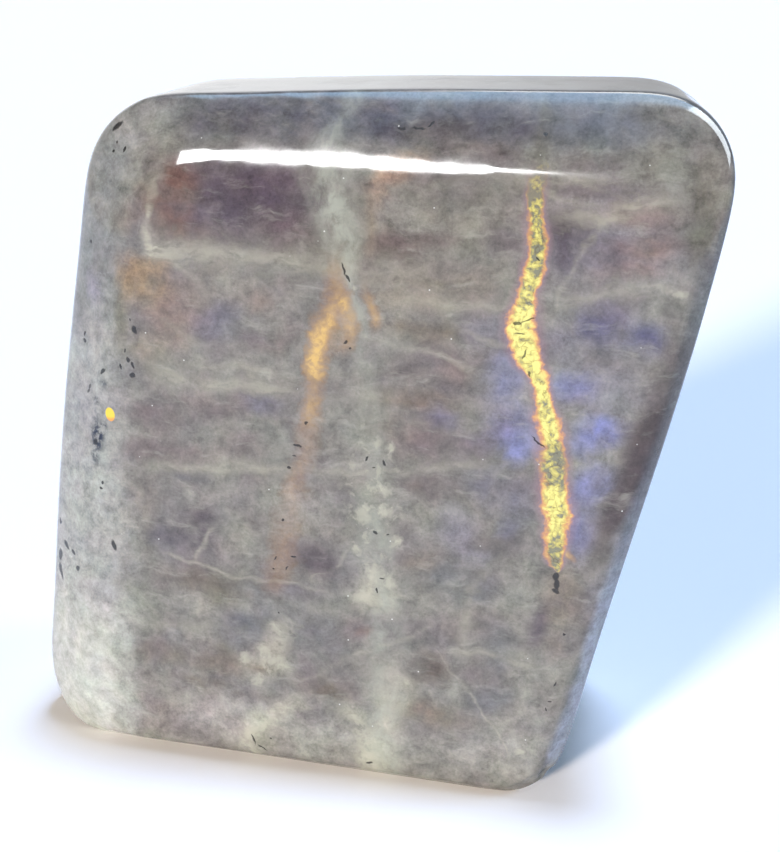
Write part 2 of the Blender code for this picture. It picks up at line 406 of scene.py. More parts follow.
# Soft places of other colours: x, y, height, half width, half height, paint, how much of it, and
# the turn in degrees of those that lean.
softMarks = [
    # the top bevel: the wide steel mark is partly painted shade and bluish reflection of the bevel that
    # turns up, over the stone's own marks
    (10, -10, 95.5, 48, 4.4, "steel", 0.7), (-13, -11, 94.6, 18.6, 3.2, "slate", 0.5),
    (-16.5, -11, 94.1, 10.7, 2.1, "ink", 0.45), (-30.5, -10, 93.8, 7, 4.4, "pale", 0.6),
    (2.2, -10, 95, 4.9, 2.9, "slate", 0.5), (4.5, -11, 93.9, 2.1, 1, "ink", 0.5),
    (11.8, -11, 94.1, 6, 1.8, "brown", 0.35), (17.7, -10, 95, 9.2, 2.5, "ink", 0.4),
    (22.3, -11, 94.2, 3.1, 1.6, "ink", 0.45), (25.5, -11, 94.5, 1.4, 4.1, "olive", 0.6),
    (31.6, -11, 94.4, 7.7, 2.2, "slate", 0.6), (38.2, -10, 95.2, 6.3, 2.4, "slate", 0.4),
    (16.1, -13, 91.9, 9.2, 1.3, "brown", 0.35),
    # the upper left
    (-13, -15, 84.5, 15, 7.5, "plum", 0.6), (-28.6, -15, 79, 1.6, 3, "shell", 0.5),
    (-35.5, -12, 84.2, 3.7, 9.1, "mist", 0.5), (-32.1, -15, 81.3, 3.1, 3.2, "rose", 0.2),
    (-37.5, -13, 75.4, 2, 4.4, "slate", 0.3), (-32.8, -16, 66.7, 1.3, 9.1, "olive", 0.5),
    (-37.5, -13, 70, 2.1, 3.2, "haze", 0.6), (-36.5, -15, 63.5, 3.1, 5.9, "pale", 0.7),
    (-13.5, -15, 84.9, 12.2, 6.4, "violet", 0.85), (-15, -15, 84.4, 12.5, 6, "violet", 0.45),
    (-17.5, -16, 82, 5.4, 3.6, "violet", 0.4), (-7.8, -15, 83.8, 4.3, 3.8, "violet", 0.6),
    (-7.3, -16, 80.9, 4.3, 2.9, "plum", 0.5), (-25.6, -15, 83.2, 4.3, 5.6, "brick", 0.5),
    (-23.2, -15, 86.4, 3.4, 3.2, "brick", 0.55), (-23.5, -16, 82, 2.9, 2.6, "brick", 0.5),
    (-21.8, -16, 79.1, 3.7, 2.1, "brown", 0.4), (-30.8, -16, 73.1, 2.6, 4.1, "amber", 0.8),
    (-27.6, -16, 71.3, 3.1, 3.8, "amber", 0.55), (-27.8, -16, 75, 3.1, 1.6, "amber", 0.5),
    (-25, -17, 67.3, 4.6, 4.1, "rose", 0.5), (-28.2, -17, 62.8, 4, 2.6, "tan", 0.5),
    (-22.3, -17, 70.3, 4.9, 4.7, "rose", 0.4), (-18.3, -17, 67.1, 4.6, 3.8, "dusk", 0.5),
    (-19.8, -17, 65.4, 2.6, 1.8, "violet", 0.3), (-16.7, -17, 69, 2.3, 1.9, "dusk", 0.5),
    (-11.5, -17, 71, 6.6, 4.4, "plum", 0.25), (-11.5, -17, 71.3, 2.3, 1.6, "rose", 0.4),
    (-10.3, -17, 65.6, 5.1, 1.9, "plum", 0.65), (-12.5, -17, 65.7, 2.3, 1.2, "violet", 0.5),
    (-1.6, -17, 66.6, 1.9, 3.4, "amber", 0.55),
    # the left of the middle
    (-15.4, -18, 61.7, 9.2, 2.2, "pale", 0.2), (-17, -18, 55.9, 8.6, 2.4, "plum", 0.6),
    (-11.5, -18, 56.3, 3.1, 1.6, "dusk", 0.7), (-18.5, -18, 54.7, 3.1, 1.2, "ink", 0.45),
    (-28.5, -18, 52.6, 5.1, 2.6, "plum", 0.7), (-28.6, -18, 47.7, 4.9, 1.9, "plum", 0.65),
    (-14.8, -19, 50.3, 4.3, 2.2, "plum", 0.7), (-24.2, -18, 48.9, 6.6, 1.6, "plum", 0.5),
    (-23.3, -19, 44.8, 5.4, 0.7, "slate", 0.6), (-15.2, -19, 42.8, 7.4, 2.9, "pale", 0.35),
    (-23, -19, 36.6, 7.6, 5.4, "violet", 0.75, -20), (-21.5, -19, 37.4, 3.2, 2.6, "ink", 0.25),
    (-27.5, -19, 34.4, 2.9, 1.9, "slate", 0.6), (-20.1, -19, 39.7, 2, 1.6, "ink", 0.5),
    (-30.5, -19, 38.8, 3.1, 4.7, "tan", 0.25), (-13.4, -20, 37.7, 4.6, 3.8, "grey", 0.4),
    (-19.1, -20, 29.1, 8, 2.8, "umber", 0.6), (-18, -20, 26.4, 3.4, 1.9, "olive", 0.7),
    (-6, -20, 29.4, 4.9, 1.5, "violet", 0.65), (-11.8, -20, 29, 4.9, 1.3, "slate", 0.6),
    (-3.8, -20, 33.9, 4.7, 2.6, "umber", 0.55), (-3.8, -20, 33.9, 6.6, 3.8, "violet", 0.6),
    (0.8, -20, 36.5, 1.3, 1.3, "slate", 0.5), (-15.3, -20, 21.4, 4.6, 3.8, "slate", 0.9),
    (-16.5, -20, 22, 2.6, 2.2, "violet", 0.5), (-11.2, -20, 25.6, 2.3, 3.2, "slate", 0.5),
    (-25.6, -20, 19.8, 2.1, 1.6, "mist", 0.5), (-31.3, -20, 24.6, 4.6, 6.2, "moss", 0.4),
    (-7.4, -19, 44.6, 1.5, 1.7, "shell", 0.6), (-9.6, -20, 31, 1.6, 2.4, "brown", 0.5),
    # the lower left
    (-27.3, -20, 16.3, 6.3, 1.9, "brown", 0.4), (-17, -21, 16, 5.1, 2.6, "brown", 0.65),
    (-17.7, -21, 18.4, 2.3, 1.3, "olive", 0.5), (-19.4, -21, 12.2, 8.3, 0.7, "umber", 0.6, 5),
    (-26, -21, 6, 8, 5.5, "shell", 0.5), (-16, -21, 7, 8, 5, "shell", 0.9),
    (-3.5, -21, 4.7, 9.5, 4.3, "pale", 0.85), (-29, -21, 7.6, 4, 4, "rose", 0.35),
    (-26.6, -21, 4.4, 3.1, 2.2, "plum", 0.3), (-4.6, -21, 23.3, 5.1, 4.3, "slate", 0.65),
    (-5, -20, 24.2, 1.7, 1.3, "violet", 0.6), (0.2, -21, 20.7, 2.1, 1.6, "slate", 0.45),
    (2.1, -21, 24.1, 2.9, 2.6, "plum", 0.6), (3.6, -20, 23.9, 1.1, 1.2, "brick", 0.6),
    (-1.6, -21, 14.3, 5.4, 1.9, "brown", 0.6), (-2.4, -21, 13.8, 2, 1.2, "umber", 0.4),
    (-6.3, -21, 7, 8.9, 3.2, "pale", 0.6), (-11.4, -21, 16.9, 4, 3, "cream", 0.45),
    (-11.6, -21, 15.6, 2.4, 0.9, "brown", 0.7), (-12.6, -21, 5.5, 3.2, 3.6, "cream", 0.6, 20),
    (-8.4, -21, 10.4, 3.4, 1.6, "cream", 0.55, -35), (-10, -21, 21.4, 1.8, 3.6, "cream", 0.25, 15),
    (4.4, -21, 5, 2.6, 4.6, "cream", 0.6), (1.6, -21, 11.2, 2.2, 2, "cream", 0.6),
    (8, -21, 13, 3, 6, "cream", 0.45),
    # the middle
    (11, -16, 81, 11, 7, "grey", 0.35), (12, -18, 54, 9, 10, "plum", 0.3),
    (3.8, -19, 54, 3.7, 10.3, "moss", 0.35), (3.9, -20, 41, 4, 7.1, "moss", 0.5),
    (2.8, -20, 34.9, 3.7, 5, "pale", 0.35), (4.9, -20, 30.3, 4, 3.1, "cream", 0.6),
    (7.4, -21, 15.1, 3.4, 5, "cream", 0.45), (6.8, -21, 6.5, 3.1, 5.6, "cream", 0.75),
    (7.1, -14, 89.6, 4.3, 1.9, "peach", 0.8, -25), (4.7, -15, 86.9, 1.6, 3.7, "peach", 0.5),
    (3.6, -16, 81.7, 1.1, 5, "tan", 0.45), (8.1, -15, 84.2, 4, 1.9, "pale", 0.35),
    (14.7, -15, 85.5, 4.3, 2.2, "violet", 0.5), (15.9, -15, 88.1, 6.6, 0.9, "violet", 0.5),
    (7.6, -16, 79.4, 5.4, 2.2, "umber", 0.4), (7.6, -16, 79.4, 5.1, 2.1, "plum", 0.6),
    (13.1, -16, 80.3, 2.6, 1.5, "plum", 0.6), (20.9, -16, 80.1, 3.1, 1.9, "violet", 0.7),
    (13.2, -17, 73.8, 11.2, 4, "tan", 0.25), (10.5, -17, 72.3, 9.4, 1.3, "tan", 0.35),
    (12.5, -17, 75.1, 3.1, 0.7, "olive", 0.6), (10.6, -17, 68.3, 6.4, 1.9, "brown", 0.65),
    (14.4, -17, 68.8, 2.3, 0.9, "umber", 0.4), (13.5, -18, 63.1, 6.3, 4, "plum", 0.5),
    (14.9, -18, 62.9, 3.1, 1.9, "rose", 0.35), (8.8, -18, 62.1, 2.1, 1.3, "umber", 0.4),
    (10.2, -18, 58.7, 7.1, 1.6, "brown", 0.6), (14.4, -18, 56.5, 2.9, 1.5, "dusk", 0.75),
    (8.2, -19, 54.4, 6.3, 1.9, "brown", 0.35), (13.8, -19, 53.4, 7.7, 2.2, "plum", 0.5),
    (12.6, -19, 46.2, 6.3, 2.6, "plum", 0.6), (10.5, -19, 46, 2, 2.2, "umber", 0.35),
    (16.2, -19, 40.7, 3.3, 3.2, "haze", 0.5), (19.1, -20, 37.2, 3.1, 1.9, "haze", 0.5),
    (15, -20, 34.6, 4.9, 2.4, "slate", 0.5), (11.4, -20, 35.8, 3.4, 1.6, "brown", 0.4),
    (19.3, -20, 31.7, 4.7, 2.2, "slate", 0.6, -35),
    # the light inside the right
    (36, -15, 81, 13, 8, "haze", 0.45), (21.8, -18, 59.3, 3.4, 6.8, "haze", 0.5),
    (22.3, -18, 63.4, 2.6, 4.4, "blue", 0.55), (24.6, -18, 55, 3.2, 3.9, "bright", 0.6),
    (24.1, -18, 51.9, 1.6, 1.6, "bright", 0.5), (21.9, -18, 55.7, 2.3, 2.2, "blue", 0.5),
    (20.3, -18, 53.9, 3.4, 1.9, "dusk", 0.5), (20, -17, 69.1, 4, 2.5, "haze", 0.4),
    (29.8, -16, 81.6, 4.3, 4.7, "violet", 0.85), (30.4, -15, 83.4, 3.6, 1.8, "ink", 0.65),
    (28.7, -16, 78.2, 1.9, 1.6, "violet", 0.5), (32, -15, 87.7, 6.3, 1.3, "violet", 0.5),
    (35.7, -16, 79.1, 3.6, 3.4, "dusk", 0.5), (35.7, -16, 79.4, 3.1, 2.9, "plum", 0.5),
    (38.9, -16, 78.4, 4.3, 2.6, "rose", 0.45), (36.5, -16, 77, 4.7, 1.3, "rose", 0.5),
    (38.5, -15, 84.7, 5.4, 2.2, "rose", 0.5), (40, -16, 80.8, 4.3, 2.2, "rose", 0.5),
    (40, -16, 80.8, 4, 2.1, "brown", 0.4), (44.1, -12, 91.3, 5.4, 7.3, "moss", 0.3),
    (46.3, -15, 83, 2.1, 8.2, "olive", 0.5), (34.3, -17, 70.2, 5.4, 4, "dusk", 0.85),
    (33.1, -17, 69.6, 2.6, 2.1, "navy", 0.6), (40.3, -17, 68.7, 2.9, 2.2, "navy", 0.85),
    (42.7, -16, 72.5, 1.4, 2.6, "ink", 0.4), (37.1, -17, 66.9, 7.7, 2.2, "dusk", 0.4),
    (29.3, -17, 66.8, 3.6, 3.2, "haze", 0.5), (34.8, -17, 61.5, 8, 3.5, "haze", 0.6),
    (30.9, -17, 62, 3.7, 2.2, "blue", 0.7), (35.1, -18, 56.1, 4.3, 2.6, "bright", 0.65),
    (33.1, -18, 54.2, 2.6, 1.9, "bright", 0.5), (35.9, -18, 56.6, 1.9, 1.6, "bright", 0.6),
    (34.9, -18, 49.2, 3.8, 2.9, "bright", 0.5), (32.7, -18, 47.4, 1.6, 1.9, "blue", 0.6),
    (33.3, -19, 43.3, 2.9, 5.6, "blue", 0.65), (37.5, -17, 60.3, 2.1, 3.8, "mist", 0.5),
    (40.9, -17, 51, 2.4, 10.6, "umber", 0.55, 20), (40.7, -18, 51, 2.1, 9.7, "ink", 0.5, 20),
    (42.4, -17, 56.6, 2.1, 4.9, "umber", 0.5, 20), (39.2, -18, 45, 2.1, 3.2, "ink", 0.6, 20),
    (45.1, -15, 64.6, 2.9, 4.9, "umber", 0.4, 15), (21.5, -19, 47.5, 4.3, 3.7, "dusk", 0.7),
    (25, -19, 45.5, 3.1, 4.9, "dusk", 0.45), (22.5, -19, 39, 3.6, 2.9, "ink", 0.5),
    (23.1, -19, 41.8, 1.9, 2.2, "navy", 0.45),
    # the lower right
    (28.5, -20, 27.4, 1.6, 4.9, "violet", 0.8, 10), (31.2, -19, 31.6, 2.9, 5.6, "amber", 0.25),
    (30.7, -20, 23.7, 1.9, 2.6, "rose", 0.3), (23, -20, 24.8, 2.6, 3.4, "slate", 0.6),
    (16.2, -20, 25.6, 4.7, 2.6, "plum", 0.35), (12.6, -21, 19.2, 4.4, 3.1, "umber", 0.6),
    (14.6, -21, 18.9, 2.3, 1.5, "umber", 0.35), (13.3, -21, 12.3, 8.3, 2.6, "brown", 0.55),
    (12.5, -21, 12.5, 2.3, 1.2, "rose", 0.3), (21.9, -20, 15.2, 4.3, 2.6, "slate", 0.7),
    (22.5, -20, 20.3, 2.1, 1.9, "slate", 0.6), (17.8, -21, 5.6, 14, 3.6, "pale", 0.5),
    (27.8, -21, 11.2, 3.7, 4.3, "pale", 0.4), (36.4, -19, 33.4, 2.1, 4.9, "haze", 0.4, 10),
    (26, -20, 8.5, 8, 6.5, "pale", 0.55),
]

# The edges at the right: a dark one, and a pale bluish one that is painted light, the glow of the
# blue lamp at the right through the thin edge. Height and x along each, how much of it at each
# height, half width.
darkRimAndRimLight = [
    {"route": [(30, 35), (42, 37.8), (50, 40), (61, 42.8), (70, 44.8), (78, 46.6)],
     "share": [(32, 0), (40, 0.5), (50, 0.8), (62, 0.6), (72, 0.3), (80, 0)],
     "half": 3.8, "colour": (98, 92, 97)},
    {"route": [(3, 31.3), (8, 32.2), (12, 33.2), (25, 36), (36, 38.2), (50, 42), (61, 44.8), (75, 49)],
     "share": [(2, 0), (6, 0.9), (30, 0.9), (38, 0.5), (48, 0.2), (58, 0)],
     "half": 1.7, "colour": (188, 188, 196)},
]

# Sheets of paler grain that cross the stone: x and height along each, strength at x, half width.
veils = [
    {"route": [(-28, 77.3), (-15, 77.4), (-2, 76), (8, 75.9), (16, 75)],
     "strength": [(-30, 0), (-27, 0.95), (-15, 0.8), (-4, 0.6), (8, 0.4), (17, 0)], "half": 1.5},
    {"route": [(-29.5, 77.4), (-21.6, 73.5), (-16.4, 68.6)],
     "strength": [(-30, 0), (-27, 0.6), (-21, 0.45), (-16, 0)], "half": 0.8},
    {"route": [(-31, 60.7), (-20, 61.5), (-9.7, 61.4)],
     "strength": [(-32, 0), (-28, 0.35), (-12, 0.5), (-8, 0)], "half": 0.8},
    {"route": [(-30.5, 58.2), (-22, 58.9), (-13.7, 58.7), (-2, 58), (8.1, 58.9)],
     "strength": [(-31, 0), (-26, 0.8), (-12, 0.85), (-4, 0.3), (4, 0.4), (11, 0)], "half": 1},
    {"route": [(-31, 45.2), (-20, 46.6), (-8.6, 47.6), (8.4, 48.4), (22, 50.9)],
     "strength": [(-32, 0), (-27, 0.65), (-8, 0.85), (4, 0.5), (18, 0.5), (23, 0)], "half": 0.75},
    {"route": [(-28.3, 32.4), (-22.8, 31.7), (-18.9, 31.3), (-15.1, 30.2), (-9, 30.3), (0, 29.6)],
     "strength": [(-30, 0), (-27, 0.55), (-20, 0.85), (-12, 0.5), (-4, 0.4), (1, 0)], "half": 0.3},
    {"route": [(-11, 11.5), (-6, 15), (-1.6, 17.5), (2.9, 20.2), (8.7, 23.1), (16.6, 26.9)],
     "strength": [(-12, 0), (-6, 0.3), (2, 0.55), (9, 0.5), (13, 0.3), (17, 0)], "half": 0.4},
    {"route": [(12.5, 24.6), (13.1, 23.7), (15.7, 20.2), (19, 16.5), (21.5, 12.8), (23.5, 9.8),
               (26.6, 5.4)],
     "strength": [(12.4, 0), (14, 0.4), (17, 0.5), (23, 0.75), (26.5, 0.8), (27.4, 0)], "half": 0.35},
    {"route": [(15, 22.4), (22, 22), (29, 20.6)],
     "strength": [(14, 0), (18, 0.6), (26, 0.6), (30, 0)], "half": 0.45},
    {"route": [(0, 66.8), (9.1, 65.6), (12, 65.2), (16, 64.2), (19, 63.5)],
     "strength": [(-1, 0), (3, 0.3), (9, 0.5), (16, 0.75), (20, 0)], "half": 0.55},
    {"route": [(4.5, 72.4), (10.5, 72.6), (16, 72), (23, 72.3)],
     "strength": [(3, 0), (7, 0.45), (16, 0.6), (21, 0.6), (24, 0.2), (25, 0)], "half": 0.9},
    {"route": [(14, 68.9), (18.3, 68.4), (23.2, 67.3)],
     "strength": [(12, 0), (17, 0.3), (22.6, 0.5), (23.4, 0)], "half": 0.3},
    {"route": [(26, 84.5), (31, 84.8), (35.2, 85.4), (39.6, 86.3), (44, 87.6)],
     "strength": [(25, 0), (28, 0.45), (35, 0.8), (42, 0.6), (46, 0)], "half": 1.3},
    {"route": [(28, 73), (34, 74.6), (41, 75.3), (45, 74)],
     "strength": [(26, 0), (30, 0.5), (40, 0.6), (46, 0)], "half": 1.1},
    {"route": [(6, 88), (27, 89.3), (40, 89)],
     "strength": [(4, 0), (14, 0.35), (30, 0.55), (38, 0.3), (42, 0)], "half": 0.9},
    {"route": [(22, 88.8), (28, 87.2), (34, 86.2)],
     "strength": [(21, 0), (24, 0.5), (30, 0.6), (35, 0)], "half": 0.4},
    {"route": [(25, 90.6), (32, 88.9), (38, 87.4)],
     "strength": [(24, 0), (28, 0.5), (34, 0.5), (39, 0)], "half": 0.4},
    {"route": [(28, 71.5), (28.6, 73.8), (29.4, 76.2), (30.6, 78.8), (32, 81.4), (34, 83.8),
               (37, 85.9), (42, 87)],
     "strength": [(27.6, 0), (28.6, 0.4), (31, 0.5), (36, 0.4), (40, 0.2), (43, 0)], "half": 1.1},
    {"route": [(-31, 70.5), (-24, 66), (-18, 64.5), (-6, 64.8)],
     "strength": [(-33, 0), (-27, 0.3), (-18, 0.35), (-6, 0)], "half": 0.8},
    {"route": [(8, 55.5), (16, 55), (22, 56)],
     "strength": [(7, 0), (12, 0.4), (19, 0.35), (23, 0)], "half": 0.6},
    {"route": [(-31, 20.4), (-22, 21.6), (-12, 21)],
     "strength": [(-33, 0), (-26, 0.35), (-14, 0.3), (-10, 0)], "half": 0.7},
]

# Sheets that stand up: height and x along each, strength at each height, half width.
uprights = [
    {"route": [(77, -28.2), (79.3, -28.7), (84.4, -27.7), (88, -27.4)],
     "strength": [(76, 0), (78, 1.5), (82, 1.3), (86, 0.6), (89, 0)], "half": 0.55},
    {"route": [(31.5, -21.9), (33.3, -21.2), (35.5, -19.9), (37.5, -18.8), (39.5, -18.1)],
     "strength": [(31.5, 0), (33, 0.8), (37, 0.7), (40, 0)], "half": 0.4},
    {"route": [(31, -4.6), (32.6, -2.3), (34.6, -0.1), (37, 1.2)],
     "strength": [(30, 0), (32, 0.5), (36, 0.5), (38, 0)], "half": 0.4},
    {"route": [(22, 18.6), (30, 18.2), (37, 21.4)],
     "strength": [(20, 0), (24, 0.5), (32, 0.55), (38, 0)], "half": 0.8},
    {"route": [(8, 8), (16, 6.6), (21, 5)],
     "strength": [(6, 0), (10, 0.6), (18, 0.35), (22, 0)], "half": 1.8},
]

# Cream veins at the foot, which stand up in the same way.
creamVeins = [
    {"route": [(1, -13.4), (2.8, -14.8), (5.4, -13.6), (8, -11.4), (10, -8.6), (11.6, -6)],
     "strength": [(0.5, 0.7), (4, 0.8), (9, 0.6), (11.4, 0.3), (12, 0)], "half": 1.5},
    {"route": [(1.8, 4.6), (5.6, 4.2), (8.3, 3), (10.1, 1.9), (12, 1.2)],
     "strength": [(0.5, 0.8), (6, 0.7), (11, 0.5), (12.6, 0)], "half": 1.5},
    {"route": [(14, -12), (18, -10), (21, -9.4), (25, -7.6), (28, -6.8)],
     "strength": [(12.6, 0), (15, 0.6), (19, 0.5), (24, 0.35), (28, 0)], "half": 1.5},
]

# The wide pale vein down the middle.
paleVein = {
    "route": [(0, 6.7), (21, 6.6), (35, 5), (50, 4.9), (61, 3.2), (68, 2.1), (72, 1.8), (76, 0.6),
              (79, -0.4), (82, -1.2), (85, -1.9), (88.6, -2.8), (91.6, -3.6), (93.6, -3.7), (97.5, -2.2)],
    "half": [(0, 3.6), (8, 3.6), (22, 3.8), (35, 3.8), (50, 3.6), (62, 2.4), (70, 2), (75, 2.4),
             (80, 3.9), (85, 4.8), (90, 4.2), (93, 3), (97, 2.2)],
    "strength": [(0, 0.7), (14, 0.6), (22, 0.5), (32, 0.65), (42, 0.48), (52, 0.28), (62, 0.33),
                 (69, 0.55), (74, 0.75), (82, 0.95), (90, 0.85), (94, 0.6), (99, 0.5)],
}

# White knots in it and at the foot: x, height, radius.
knots = [
    (2.9, 41.7, 1.3), (5.9, 42.5, 1), (7, 51.6, 0.8), (4.9, 52.3, 0.7), (6.8, 32.3, 1.1),
    (4.3, 33, 1.6), (3.4, 29.6, 1.3), (1.6, 73.8, 0.5), (26.6, 7, 0.6), (44, 74.6, 0.7),
    (-11.4, 18.6, 1), (-8.6, 16.4, 1), (-14.2, 17.4, 0.9), (-12.4, 13.8, 0.8), (-10, 22.6, 0.7),
    (6.2, 45.8, 0.8), (7.6, 38.2, 0.9), (2.2, 36.6, 0.8),
]

# The gold seam at the right: x, half width and brightness at each height, and the colours of its
# cells from the dim ones to the bright.
goldSeam = {
    "route": [(35, 30.3), (38, 30.1), (43.3, 30.2), (45.7, 29.8), (48, 29.3), (54, 28.7), (56.4, 28.3),
              (59.5, 27.5), (62.2, 26.6), (64.6, 25.2), (67, 24.7), (70.2, 24.2), (73, 24.6), (76, 25),
              (79, 25.2), (87, 25), (93, 25.2)],
    "half": [(35, 0), (36.6, 0.5), (38.2, 1), (40.6, 1.4), (43.3, 1.75), (46, 1.8), (51, 1.55),
             (56.4, 1.6), (59.5, 1.2), (62.2, 1.1), (64.6, 1.5), (67, 1.45), (69.5, 1.7), (73, 1.3),
             (77, 1.1), (83, 1.25), (87, 1.1), (92, 0.9)],
    "bright": [(34, 0), (36, 0.3), (38.5, 0.45), (41, 0.6), (43, 0.8), (46, 0.78), (48, 0.66),
               (50.5, 0.36), (53.5, 0.38), (55.5, 0.85), (57.5, 0.7), (60, 0.8), (63, 1), (70, 1),
               (72.5, 0.74), (76, 0.66), (79, 0.48), (83, 0.42), (85.5, 0.34), (88, 0.24), (91, 0.12),
               (94, 0)],
    "cellsPerMm": 1.3,
    "shades": [(0.05, (150, 150, 134)), (0.42, (216, 204, 132)), (0.8, (255, 244, 154))],
    "edge": (244, 174, 122),
    "fringe": (176, 146, 158),
    "crack": (98, 84, 60),
}

# The orange seam left of the middle, then its branches and the short tail at the gold seam's foot.
orangeSeams = [
    {"route": [(28, -9.5), (31, -9.3), (35, -8.5), (39, -8), (42.6, -7.4), (46, -6.8), (52, -5.1),
               (57, -4.2), (61, -3.7), (63.5, -3.6), (65.5, -3.2), (67.2, -2.7), (69, -1.8),
               (71.7, -0.9), (76, -1.4), (80, -1.4)],
     "half": [(27, 1.4), (35, 1.8), (46, 1.5), (57, 1.25), (63, 1.25), (67, 1.35), (71, 1.6),
              (76, 1.3), (80, 0.9)],
     "bright": [(26, 0), (30, 0.1), (36, 0.15), (42, 0.1), (46, 0.18), (51, 0.14), (54, 0.28),
                (57, 0.42), (58.5, 0.28), (60, 0.42), (62, 0.8), (66, 0.82), (69, 0.58), (72, 0.36),
                (76, 0.18), (81, 0)]},
    {"route": [(64, 0.3), (66, 0.7), (69.3, 0.8), (72, 0.2)],
     "half": [(64, 0.8), (69, 1.1), (72, 0.9)],
     "bright": [(63, 0), (65, 0.25), (69, 0.42), (72, 0.25), (74, 0)]},
    {"route": [(67.5, 4.3), (69, 4.6), (70.5, 4.3), (72.5, 3.5), (75, 3.2)],
     "half": [(67.5, 0.65), (72, 0.7), (75, 0.6)],
     "bright": [(66.5, 0), (68.2, 0.24), (70.5, 0.38), (73, 0.22), (76, 0)]},
    {"route": [(38.2, 32.1), (39.4, 31.5)],
     "half": [(38.2, 0.55), (39.4, 0.5)],
     "bright": [(37.8, 0), (38.6, 0.6), (39.3, 0.45), (40, 0)]},
]
orangeShades = [(0.1, (204, 156, 116)), (0.85, (250, 208, 136))]

# Black needles and grains: x, y, height, half width, half length, and a turn in the same way.
grains = [
    (-34.2, -9.5, 92.7, 0.4, 0.95, 50), (-34, -10.5, 90.7, 0.16, 0.16),
    (-34.5, -10.8, 89.4, 0.3, 0.2), (-32.6, -11.3, 89.9, 0.16, 0.42, 35),
    (-38.4, -11.7, 76.7, 0.24, 0.26), (-39.8, -13.1, 63.4, 0.26, 0.4, 20),
    (-39.9, -13.1, 62.4, 0.3, 0.34), (-31.1, -16.5, 66.9, 0.12, 0.22, -30),
    (-30.5, -16.6, 65.5, 0.38, 0.6, -8), (-32.1, -16.8, 62.3, 0.2, 0.34),
    (-31.6, -16.9, 61.1, 0.3, 0.4, -30), (-30.9, -17, 60.4, 0.2, 0.5, -25),
    (-32.9, -16.9, 60, 0.17, 0.55, -18), (-31.1, -17.1, 58.9, 0.42, 0.48, -50),
    (-36, -16.1, 58.8, 0.27, 0.62, 50), (-38.6, -15.2, 56, 0.22, 0.42, 20),
    (-38.9, -15, 55.2, 0.24, 0.36, 40), (-37.7, -16.8, 48.2, 0.5, 0.42),
    (-36.4, -17.8, 42.2, 0.22, 0.26, 30), (-36.9, -17.8, 41.4, 0.3, 0.2, 20),
    (-46.2, -13.4, 33.2, 0.32, 0.5), (-43.1, -16, 29.5, 0.45, 0.4, 40),
    (-46.2, -14.4, 25.3, 0.4, 1.3, -18), (-46.3, -14.1, 27.9, 0.5, 0.9, 10),
    (-44.6, -14.9, 30.1, 0.36, 0.8, -50), (-42, -17.1, 27.3, 0.34, 0.5, 45),
    (-34.9, -18.9, 32.8, 0.36, 0.8, -15), (6.8, -11.2, 94, 0.5, 0.12, 5), (9, -11.1, 94, 0.9, 0.1),
    (10.6, -10.8, 94.5, 0.14, 0.5, 50), (25.8, -11.3, 93.7, 0.3, 0.3),
    (-5.1, -18.5, 54.2, 0.22, 0.24), (-6.3, -18.8, 50.9, 0.6, 0.16, 10),
    (-6.8, -18.9, 49.5, 0.3, 0.12, 20), (-7.6, -19, 47.6, 0.3, 0.2), (3.7, -18.9, 50, 0.12, 0.4, 30),
    (6.1, -19, 49.5, 0.16, 0.5, -20), (4.7, -19, 48.7, 0.3, 0.12), (-8.5, -19.6, 39.8, 0.16, 0.2),
    (5, -19.7, 39.3, 0.4, 0.12, 20), (6.8, -19.7, 39.1, 0.3, 0.14, -20),
    (-9.7, -19.9, 33.9, 0.12, 0.4, 20), (-7, -19.9, 34.3, 0.34, 0.12),
    (-7.9, -20, 32.6, 0.14, 0.3, 40), (-10, -20, 32.2, 0.2, 0.16), (5.3, -20.2, 30.5, 0.12, 0.34),
    (6, -20.1, 32.5, 0.3, 0.14), (-9.2, -20.4, 25.4, 0.16, 0.2), (4.4, -21.1, 2.6, 0.5, 0.18),
    (31, -20, 18.7, 0.13, 0.4, 20), (30.4, -20.2, 15.9, 0.26, 0.12),
    (29.9, -20.3, 14.6, 0.12, 0.3, -20), (31.9, -19.5, 26.4, 0.2, 0.14),
    (25.9, -16, 78.5, 0.13, 0.34, -35), (0, -16.4, 75.8, 0.16, 0.85, -18),
    (0.6, -16.6, 74.6, 0.15, 0.6, -28), (0.3, -17.1, 66, 0.34, 0.2, -20), (1, -17.2, 65.2, 0.2, 0.18),
    (30.3, -19.1, 34.9, 0.42, 0.7, 25), (30.5, -19.2, 33.8, 0.4, 1, -12),
    (30.4, -19.3, 32.8, 0.5, 0.38, 20), (27, -18.1, 54, 0.12, 1.3, -50),
    (23.6, -16.9, 69.9, 0.5, 0.2, 10), (25, -16.9, 70.4, 1.1, 0.13, -22),
    (23.9, -17.1, 68.6, 0.75, 0.12), (24.7, -17.3, 65.9, 0.14, 0.75, 18),
    (25.6, -17.5, 63.3, 0.17, 0.4), (-13.6, -21.1, 4, 0.12, 0.9, -25),
    (-12.2, -21.1, 2.8, 0.8, 0.1, 30), (-11, -21.1, 4.5, 0.2, 0.14),
]

# Bluish smudges of ore around the left grains: centre, radii, strength.
smudges = [
    ((-37.3, -16.8, 49.3), (1.6, 4, 2.3), 0.9), ((-37.8, -16.4, 46.2), (1.1, 4, 1.9), 0.5),
    ((-35.9, -16.4, 57), (1.2, 4, 1), 0.4), ((-37.6, -16, 54.2), (1, 4, 1.6), 0.42),
    ((-37.9, -16, 51.8), (0.9, 4, 1.2), 0.35), ((-39.3, -16.4, 43.6), (1.4, 4, 1), 0.22),
    ((-36.2, -17, 50.6), (0.8, 4, 1.2), 0.4),
]
oreTints = {"grain": (34, 28, 30), "smudge": (66, 76, 92)}

goldDot = {
    "centre": (-34.9, -17.2, 52.7),
    "radii": (0.78, 4, 1),
    "light": (255, 228, 104),
    "rim": (255, 182, 112),
}

